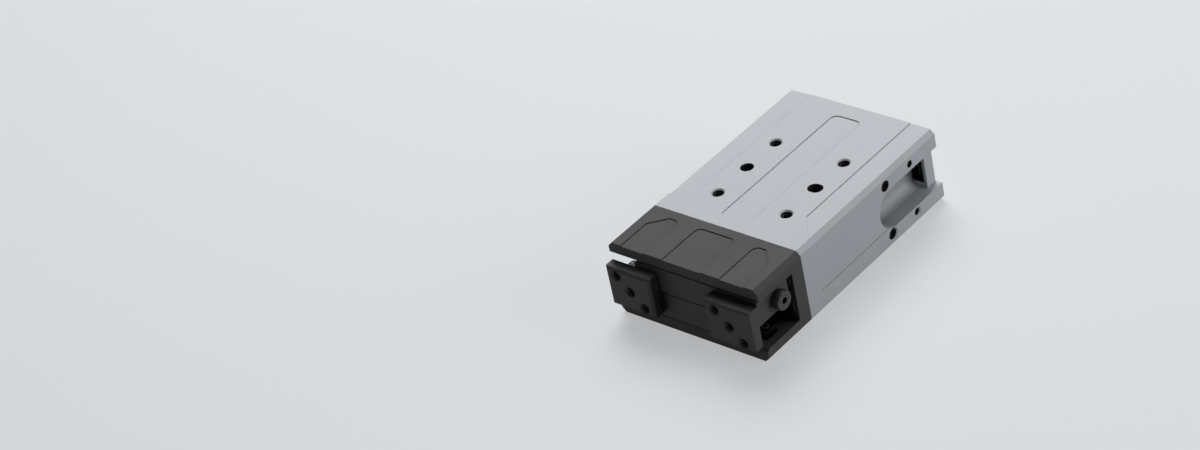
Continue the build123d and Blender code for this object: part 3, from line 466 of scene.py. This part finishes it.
def make_finishes():
    """Every material of the gripper, by the record's slot, and those of the threads in its
    holes."""
    tone = bpy.context.scene.gripper_finishes
    return {
        # Clear anodised aluminium: pale cool grey, matt, a little paler on edges from a thinner
        # film and a painted highlight, with painted shade in its recesses
        "grey_anodised": blasted_anodise(
            "clear_anodised_aluminium",
            tone.clear_anodise,
            wear_gain=1.04,
            gloss=0.25,
            reach=tone.recess_reach,
            deep=0.44,
        ),
        # Black anodised aluminium: charcoal, matt, clearly paler along worn edges with a painted
        # highlight there, and painted shade in its window
        "black_anodised": blasted_anodise(
            "black_anodised_aluminium",
            tone.black_anodise,
            wear_gain=1.25,
            gloss=0.12,
            reach=tone.window_reach,
            deep=0.5,
        ),
        # Hardened steel, ground and blackened: dark, soft sheen, faint lines along the slides
        "jaw_steel": machined_metal(
            "blackened_ground_steel",
            tone.blackened_steel,
            roughness=0.5,
            line_width=0.3 * MM,
            stretch=(14, 1, 1),
            metallic=0.2,
            contrast=0.1,
            gloss=0.15,
        ),
        # Black oxide on steel: oily black with a low gloss
        "black_screw": machined_metal(
            "black_oxide_steel",
            tone.black_oxide,
            roughness=0.4,
            line_width=0.2 * MM,
            metallic=0.6,
            contrast=0.2,
        ),
        # Tapped aluminium, its colour darkened to near black as painted shade inside its hole
        "aluminium_thread": machined_metal(
            "oiled_aluminium_thread",
            scaled(tone.clear_anodise, tone.thread_tone),
            roughness=0.4,
            line_width=0.1 * MM,
            metallic=0.2,
        ),
        # The same painted shade for a thread in the jaws' steel, darker still
        "steel_thread": machined_metal(
            "oiled_steel_thread",
            scaled(tone.blackened_steel, tone.thread_tone),
            roughness=0.4,
            line_width=0.1 * MM,
            metallic=0.2,
        ),
        # Ground bearing steel: bright, near a mirror, with very fine lines
        "steel": machined_metal(
            "ground_steel",
            tone.ground_steel,
            roughness=0.24,
            line_width=0.2 * MM,
            stretch=(18, 1, 1),
        ),
        # Thin black chromium on ground steel: dark, glossy, lines along the ball grooves; its tone
        # is darkened further as painted shade inside the head
        "rail_steel": machined_metal(
            "black_chromed_steel",
            tone.black_chrome,
            roughness=0.3,
            line_width=0.2 * MM,
            stretch=(18, 1, 1),
        ),
        # Milled and hobbed steel: grey, satin, cutter marks along the teeth
        "gear_steel": machined_metal(
            "cut_gear_steel",
            tone.cut_steel,
            roughness=0.34,
            line_width=0.2 * MM,
            stretch=(1, 6, 1),
        ),
        # Zinc-plated drawn steel: pale satin, drawing lines along the motor
        "motor_steel": machined_metal(
            "plated_motor_steel",
            tone.plated_steel,
            roughness=0.3,
            line_width=0.3 * MM,
            stretch=(1, 12, 1),
        ),
        # Nickel over a sintered magnet: smooth and bright with a faint mottle
        "magnet": machined_metal(
            "nickel_plated_magnet", tone.magnet, roughness=0.28, line_width=0.4 * MM
        ),
        # Brass strip: warm yellow with rolling lines along it
        "cage_brass": machined_metal(
            "rolled_brass",
            tone.brass,
            roughness=0.3,
            line_width=0.25 * MM,
            stretch=(16, 1, 1),
        ),
        # Gold on copper alloy: deep yellow, glossy
        "gold_contact": machined_metal(
            "gold_plate", tone.gold, roughness=0.2, line_width=0.1 * MM, stretch=(1, 4, 1)
        ),
        # Sintered bronze: dull gold-brown, dotted with pores
        "bronze": porous_bronze("sintered_bronze", tone.bronze, pore_spacing=0.25 * MM),
        # Enamelled copper wire: red-brown and glossy, in even turns, with painted shade between
        # them
        "copper_winding": enamelled_winding(
            "enamelled_copper_wire", tone.copper, wire_width=0.3 * MM
        ),
        # Glass-fibre board under solder mask: dark green with faint tracks
        "board_green": circuit_board(
            "solder_mask_board", tone.solder_mask, track_cell=2.5 * MM
        ),
        # Glass-filled nylon from a spark-eroded mould: matt black
        "black_plastic": moulded_plastic(
            "glass_filled_nylon", tone.moulded_black, roughness=0.45
        ),
        # Polyimide film: amber and glossy
        "lead_film": moulded_plastic("polyimide_film", tone.film, roughness=0.25),
    }


finishes_made = {}


def finish_of(name):
    """One of the materials above. All are made on first use."""
    if not finishes_made:
        finishes_made.update(make_finishes())
    return finishes_made[name]


def dress(*names):
    """Gives each named CAD node the material of its record slot."""
    for name in names:
        for place in frame["nodes"][name].material_slots:
            place.material = finish_of(slot_of_node[name])


# Shapes

WELD_DISTANCE = 0.0005 * MM
# Faces that meet at more than this keep a sharp edge
SHARP_ANGLE = radians(35)


def grid_mesh(points):
    """Points and quads of a (rows, columns, 3) grid: open down the rows, closed along the
    columns."""
    rows, columns = points.shape[:2]
    row, column = np.meshgrid(np.arange(rows - 1), np.arange(columns), indexing="ij")
    this, below = row * columns, (row + 1) * columns
    across = (column + 1) % columns
    quads = np.stack([this + column, below + column, below + across, this + across], axis=-1)
    return points.reshape(-1, 3), quads.reshape(-1, 4)


def new_piece(name, parts, body, slot_name, finish_name=None):
    """One object from (points, quads) parts, each in metres and in place, riding on body. Its
    finish is its slot's, unless finish_name gives another."""
    offset = 0
    all_points, all_quads = [], []
    for points, quads in parts:
        all_points.append(points)
        all_quads.append(quads + offset)
        offset += len(points)
    mesh = bpy.data.meshes.new(name)
    mesh.from_pydata(np.concatenate(all_points), [], np.concatenate(all_quads))
    shell = bmesh.new()
    shell.from_mesh(mesh)
    bmesh.ops.remove_doubles(shell, verts=shell.verts, dist=WELD_DISTANCE)
    bmesh.ops.recalc_face_normals(shell, faces=shell.faces)
    shell.to_mesh(mesh)
    shell.free()
    piece = bpy.data.objects.new(name, mesh)
    bpy.context.scene.collection.objects.link(piece)
    mesh.polygons.foreach_set("use_smooth", np.ones(len(mesh.polygons), dtype=bool))
    mesh.set_sharp_from_angle(angle=SHARP_ANGLE)
    mesh.materials.append(finish_of(finish_name or slot_name))
    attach(piece, body)
    return piece


def facing(axis):
    """Rotation that takes +Z to axis."""
    return np.array(Vector((0, 0, 1)).rotation_difference(Vector(axis)).to_matrix())


def thread_surface(mouth, axis, radius, pitch, run):
    """Internal thread: a helical ridge of triangular section. At turn angle a and round the
    section s, the radius is the hole's less the ridge, and the height falls by one pitch a turn
    from the mouth, which axis points out of. The ridge fades in and out over half a turn, its
    foot stands a little inside the wall, and its two ends are closed to a point."""
    details = bpy.context.scene.gripper_details
    turns = run / pitch
    angles = np.linspace(0, tau * turns, int(details.turn_segments * turns) + 1)
    least_ridge = 0.02
    fade = np.clip(np.minimum(angles, angles[-1] - angles) / pi, least_ridge, 1.0)[:, None]
    foot_inside = 0.03 * MM
    half_foot = 0.4 * pitch
    section_in = np.array([-foot_inside, details.thread_depth, -foot_inside])
    section_up = np.array([half_foot, 0.0, -half_foot])
    radii = radius - section_in * np.where(section_in > 0, fade, 1.0)
    turn = angles[:, None]
    heights = -turn / tau * pitch + section_up * fade
    ridge = np.stack([radii * np.cos(turn), radii * np.sin(turn), heights], axis=-1)
    ends = [ring.mean(axis=1, keepdims=True).repeat(3, 1) for ring in (ridge[:1], ridge[-1:])]
    vertices, quads = grid_mesh(np.concatenate([ends[0], ridge, ends[1]]))
    return vertices @ facing(axis).T + np.array(mouth), quads


def screw_surface(seat, axis, radius):
    """Head of a socket-head screw: rings, each with a radius and a height, joined from the
    socket's floor over the top to the under side. In the socket a ring is a hexagon, whose radius
    is half the width across its flats over the cosine of the angle from the nearest flat's middle.
    Outside it is a circle, on the side with a cosine wave taken off it for the ridges."""
    details = bpy.context.scene.gripper_details
    height, bevel = details.head_height, details.head_bevel
    flats, ridge = details.hexagon, details.knurl_depth
    floor = height - details.hexagon_depth
    steps_per_ridge = 6
    angles = np.linspace(0, tau, steps_per_ridge * details.knurl_count, endpoint=False)
    sixth = pi / 3
    hexagon = flats / 2 / np.cos((angles + sixth / 2) % sixth - sixth / 2)
    side = radius - ridge * (0.5 - 0.5 * np.cos(details.knurl_count * angles))
    circle = np.ones_like(angles)
    path = [
        # The socket's floor, coned by the drill
        (0 * circle, floor - flats / 4),
        (0.98 * hexagon, floor),
        # The socket's six walls and their bevelled mouth
        (hexagon, floor),
        (hexagon, height - bevel / 2),
        (hexagon + bevel / 2, height),
        # The flat top and its rounded edge
        ((radius - 1.3 * bevel) * circle, height),
        ((radius - 0.6 * bevel) * circle, height - 0.15 * bevel),
        ((radius - 0.1 * bevel) * circle, height - 0.7 * bevel),
        # The ridged side between two smooth rings
        ((radius - ridge) * circle, height - 1.1 * bevel),
        (side, height - 1.8 * bevel),
        (side, 1.8 * bevel),
        ((radius - ridge) * circle, bevel),
        # The under side
        ((radius - 0.5 * bevel) * circle, 0),
        (0 * circle, 0),
    ]
    points = np.stack(
        [np.stack([r * np.cos(angles), r * np.sin(angles), h * circle], axis=-1) for r, h in path]
    )
    vertices, quads = grid_mesh(points)
    return vertices @ facing(axis).T + np.array(seat), quads


def pattern_places(mount):
    """The hole centres of a bolt pattern on a rectangle or a line."""
    dims = mount["dims"]
    normal = [abs(round(value)) for value in mount["axis"]].index(1)
    first, second = [axis for axis in range(3) if axis != normal]
    spacing = {
        first: dims.get("spacing_x_mm", 0) * MM,
        second: dims.get("spacing_y_mm", 0) * MM,
    }
    centre = np.array(mount["pos_m"], dtype=float)
    places = []
    for one in (-0.5, 0.5) if spacing[first] else (0,):
        for two in (-0.5, 0.5) if spacing[second] else (0,):
            place = centre.copy()
            place[first] += one * spacing[first]
            place[second] += two * spacing[second]
            places.append(place)
    return places


# Stage, whose places and sizes are in metres

# Name, place and side of each square soft box, and the setting that holds its power
LAMPS = (
    ("overhead_lamp", (-0.28, 0.32, 0.54), 0.5, "overhead_power"),
    ("side_lamp", (0.58, 0.22, 0.24), 0.4, "side_power"),
    ("front_lamp", (-0.04, -0.62, 0.30), 0.4, "front_power"),
)
LAMP_AIM = Vector((0, 0, 9 * MM))
FLOOR_HALF_SIDE = 3.0
# Width of one faint patch of tone in the floor's paint
FLOOR_CLOUD = 60 * MM
CAMERA_PLACE = Vector((353.99, -378.92, 367.95)) * MM
CAMERA_AIM = Vector((-34.5, -21.1, 9.0)) * MM
CAMERA_CLIP = 10 * MM
# Blender takes a sensor's width in millimetres
SENSOR_WIDTH = 36


def make_floor(stage):
    """A wide pale floor under the gripper. Camera, mirror and glass rays see it a little paler
    than it is lit, and the shadow stays."""
    half = FLOOR_HALF_SIDE
    corners = [(-half, -half, 0), (half, -half, 0), (half, half, 0), (-half, half, 0)]
    mesh = bpy.data.meshes.new("floor")
    mesh.from_pydata(corners, [], [(0, 1, 2, 3)])
    floor = bpy.data.objects.new("floor", mesh)
    bpy.context.scene.collection.objects.link(floor)
    made, tree, place = new_finish("painted_floor")
    path = add_node(tree, "ShaderNodeLightPath").outputs
    seen = combined(tree, "MAXIMUM", path["Is Camera Ray"], path["Is Glossy Ray"])
    seen = combined(tree, "MAXIMUM", seen, path["Is Transmission Ray"])
    glow = combined(tree, "MULTIPLY", seen, stage.floor_glow)
    cloud = noise(tree, place, FLOOR_CLOUD, detail=3.0)
    finish_surface(
        tree,
        {
            "Base Color": mixed(tree, cloud, stage.floor, scaled(stage.floor, 0.97)),
            "Roughness": 0.7,
            "Emission Color": stage.floor_tint,
            "Emission Strength": glow,
        },
    )
    mesh.materials.append(made)


def soft_lamp(name, place, size, power_watts):
    """A square soft box at place that faces the gripper's middle."""
    lamp = bpy.data.lights.new(name, "AREA")
    lamp.size = size
    lamp.energy = power_watts
    holder = bpy.data.objects.new(name, lamp)
    holder.location = place
    holder.rotation_mode = "QUATERNION"
    holder.rotation_quaternion = (LAMP_AIM - place).to_track_quat("-Z", "Y")
    bpy.context.scene.collection.objects.link(holder)


def make_world(stage):
    """An even, neutral room."""
    world = bpy.data.worlds.new("studio_room")
    world.use_nodes = True
    background = world.node_tree.nodes["Background"]
    background.inputs["Color"].default_value = (1, 1, 1, 1)
    background.inputs["Strength"].default_value = stage.ambient
    bpy.context.scene.world = world


def make_camera(stage):
    """The photograph's view: from the front right and above, turned a little about its line of
    sight, with the gripper right of the middle."""
    camera = bpy.data.cameras.new("camera")
    camera.lens = stage.lens
    camera.sensor_width = SENSOR_WIDTH
    camera.clip_start = CAMERA_CLIP
    holder = bpy.data.objects.new("camera", camera)
    holder.location = CAMERA_PLACE
    holder.rotation_mode = "QUATERNION"
    level = (CAMERA_AIM - CAMERA_PLACE).to_track_quat("-Z", "Y")
    holder.rotation_quaternion = level @ Quaternion((0, 0, 1), -stage.roll)
    bpy.context.scene.collection.objects.link(holder)
    bpy.context.scene.camera = holder


# Operators


class GRIPPER_OT_stage(Operator):
    """Set the pale floor, the soft lamps and the camera"""

    bl_idname = "gripper.stage"
    bl_label = "Set stage"

    def execute(self, context):
        stage = context.scene.gripper_stage
        make_floor(stage)
        for name, place, size, power_setting in LAMPS:
            soft_lamp(name, Vector(place), size, getattr(stage, power_setting))
        make_world(stage)
        make_camera(stage)
        context.scene.view_settings.view_transform = "Standard"
        return {"FINISHED"}


class GRIPPER_OT_housings(Operator):
    """Finish the head, the body and the rear cover"""

    bl_idname = "gripper.housings"
    bl_label = "Finish housings"

    def execute(self, context):
        dress("head_frame", "body_housing", "rear_cover")
        return {"FINISHED"}


class GRIPPER_OT_jaws(Operator):
    """Finish the jaws, racks and ball guides"""

    bl_idname = "gripper.jaws"
    bl_label = "Finish jaws"

    def execute(self, context):
        dress("right_jaw", "left_jaw", "right_rack", "left_rack")
        dress("upper_guide_rail", "lower_guide_rail", "upper_ball_cage", "lower_ball_cage")
        dress("upper_guide_balls", "lower_guide_balls")
        return {"FINISHED"}


class GRIPPER_OT_drive(Operator):
    """Finish the pinion, bearings, gearbox and motor"""

    bl_idname = "gripper.drive"
    bl_label = "Finish drive"

    def execute(self, context):
        dress("pinion", "bearing_outer_race", "bearing_inner_race")
        dress("gearbox_flange", "carrier_bush", "ring_gear", "planet_carrier", "sun_gear")
        dress("planet_gear_1", "planet_gear_2", "planet_gear_3")
        dress("motor_plate", "motor_can", "motor_winding", "motor_terminals", "motor_end_bell")
        dress("motor_front_bearing", "motor_rear_bearing", "rotor_shaft", "rotor_magnet")
        return {"FINISHED"}


class GRIPPER_OT_electronics(Operator):
    """Finish the encoder, boards, leads and the cable socket"""

    bl_idname = "gripper.electronics"
    bl_label = "Finish electronics"

    def execute(self, context):
        dress("encoder_magnet", "encoder_board", "control_board", "drive_chips")
        dress("encoder_lead", "socket_lead", "cable_socket", "socket_contacts")
        return {"FINISHED"}


class GRIPPER_OT_fasteners(Operator):
    """Finish the screws and dowels"""

    bl_idname = "gripper.fasteners"
    bl_label = "Finish fasteners"

    def execute(self, context):
        dress("head_screws", "dowel_pins", "cover_screws", "rail_screws", "gearbox_screws")
        dress("board_screws", "right_rack_screws", "left_rack_screws")
        return {"FINISHED"}


class GRIPPER_OT_end_screws(Operator):
    """Make the ridged socket-head screws in the sliders' ends"""

    bl_idname = "gripper.end_screws"
    bl_label = "Make end screws"

    def execute(self, context):
        details = context.scene.gripper_details
        for side, sign in (("right", 1), ("left", -1)):
            low, high = (np.array(corner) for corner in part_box(f"{side}_end_screw"))
            radius = (high[2] - low[2]) / 2
            tip = high[0] if sign > 0 else low[0]
            middle = (low + high) / 2
            seat = (tip - sign * details.head_height, middle[1], middle[2])
            head = screw_surface(seat, (sign, 0, 0), radius)
            piece = new_piece(
                f"{side}_end_screw_head", [head], f"{side}_jaw", "black_screw"
            )
            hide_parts(f"{side}_end_screw")
        return {"FINISHED"}


class GRIPPER_OT_threads(Operator):
    """Cut the screw threads of the mounting, clamp and finger holes"""

    bl_idname = "gripper.threads"
    bl_label = "Make threads"

    def execute(self, context):
        details = context.scene.gripper_details
        threads = []
        for name, pitch, run in (
            ("bottom_mount", details.mount_pitch, details.through_run),
            ("top_mount", details.mount_pitch, details.through_run),
            ("side_mount", details.mount_pitch, details.blind_run),
            ("cable_clamp_mount", details.clamp_pitch, details.clamp_run),
        ):
            mount = mounts[name]
            radius = mount["dims"]["hole_r_mm"] * MM
            inset = details.thread_start + pitch / 2
            for place in pattern_places(mount):
                mouth = place - np.array(mount["axis"]) * inset
                threads.append(thread_surface(mouth, mount["axis"], radius, pitch, run))
        new_piece("mount_threads", threads, "housing", "grey_anodised", "aluminium_thread")
        for side in ("right", "left"):
            threads = []
            jaw_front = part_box(f"{side}_jaw")[0][1]
            for place in ("center", "blind", "outer"):
                mount = mounts[f"{side}_finger_{place}"]
                axis = np.array(mount["axis"])
                mouth = np.array(mount["pos_m"])
                mouth[1] = jaw_front
                mouth = mouth - axis * details.finger_start
                radius = mount["dims"]["r_mm"] * MM
                run = mount["dims"]["length_mm"] * MM - 2 * details.finger_start
                threads.append(thread_surface(mouth, axis, radius, details.finger_pitch, run))
            new_piece(
                f"{side}_finger_threads", threads, f"{side}_jaw", "jaw_steel", "steel_thread"
            )
        return {"FINISHED"}


# Panel and registration


class GRIPPER_PT_dress(Panel):
    """Buttons for each group of pieces, and the sizes and colours they use"""

    bl_idname = "GRIPPER_PT_dress"
    bl_label = "Gripper"
    bl_space_type = "VIEW_3D"
    bl_region_type = "UI"
    bl_category = "Gripper"

    def draw(self, context):
        for operator in OPERATORS:
            self.layout.operator(operator.bl_idname)
        for group, settings in GROUPS.items():
            box = self.layout.box()
            for name in settings.__annotations__:
                box.prop(getattr(context.scene, group), name)


GROUPS = {
    "gripper_finishes": GripperFinishes,
    "gripper_details": GripperDetails,
    "gripper_stage": GripperStage,
}
OPERATORS = (
    GRIPPER_OT_stage,
    GRIPPER_OT_housings,
    GRIPPER_OT_jaws,
    GRIPPER_OT_drive,
    GRIPPER_OT_electronics,
    GRIPPER_OT_fasteners,
    GRIPPER_OT_end_screws,
    GRIPPER_OT_threads,
)


def register():
    """Adds the settings, the operators and the panel to Blender."""
    for kind in (*GROUPS.values(), *OPERATORS, GRIPPER_PT_dress):
        bpy.utils.register_class(kind)
    for group, settings in GROUPS.items():
        setattr(bpy.types.Scene, group, PointerProperty(type=settings))


def unregister():
    """Takes them out again."""
    for group in GROUPS:
        delattr(bpy.types.Scene, group)
    for kind in (GRIPPER_PT_dress, *OPERATORS, *GROUPS.values()):
        bpy.utils.unregister_class(kind)


def main():
    """Makes and finishes everything."""
    register()
    for operator in OPERATORS:
        getattr(bpy.ops.gripper, operator.bl_idname.split(".")[1])()


if __name__ == "__main__":
    main()
